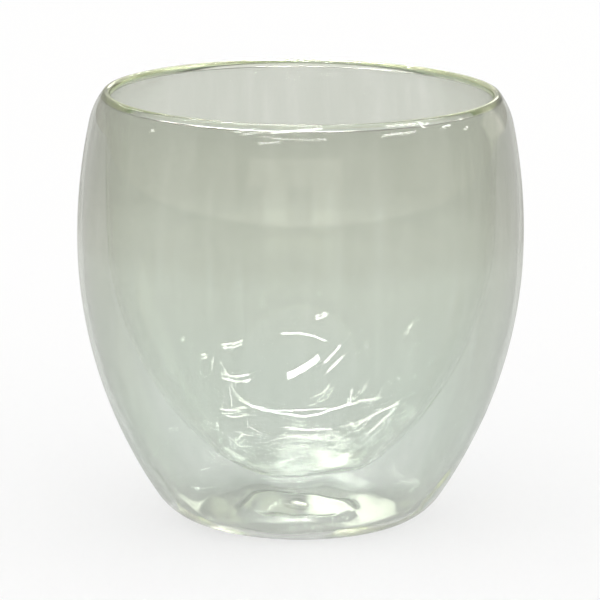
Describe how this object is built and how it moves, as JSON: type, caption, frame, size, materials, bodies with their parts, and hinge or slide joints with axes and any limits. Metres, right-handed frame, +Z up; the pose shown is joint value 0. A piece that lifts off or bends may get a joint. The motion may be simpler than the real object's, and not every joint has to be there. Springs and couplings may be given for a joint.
{
  "type": "double walled glass cup",
  "caption": "Round-bellied glass cup with an inner bowl and an outer shell fused at the rim, air sealed between them, for hot or cold drinks.",
  "frame": {"origin": "centre of the foot, on the plane that the cup stands on", "axes": "+Z up along the axis of the cup, X and Y level"},
  "size_m": [0.088, 0.088, 0.0855],
  "materials": {
    "inner_glass": "clear blown glass, fire polished",
    "outer_glass": "clear blown glass with a grey-green cast, fire polished",
    "rim_glass": "flame-fused bead, yellow-green where it is thick",
    "plug_silicone": "translucent silicone, satin"
  },
  "bodies": {
    "root": {"inner_bowl": "inner_glass", "outer_shell": "outer_glass", "rim_weld": "rim_glass", "vent_plug": "plug_silicone"}
  },
  "joints": []
}
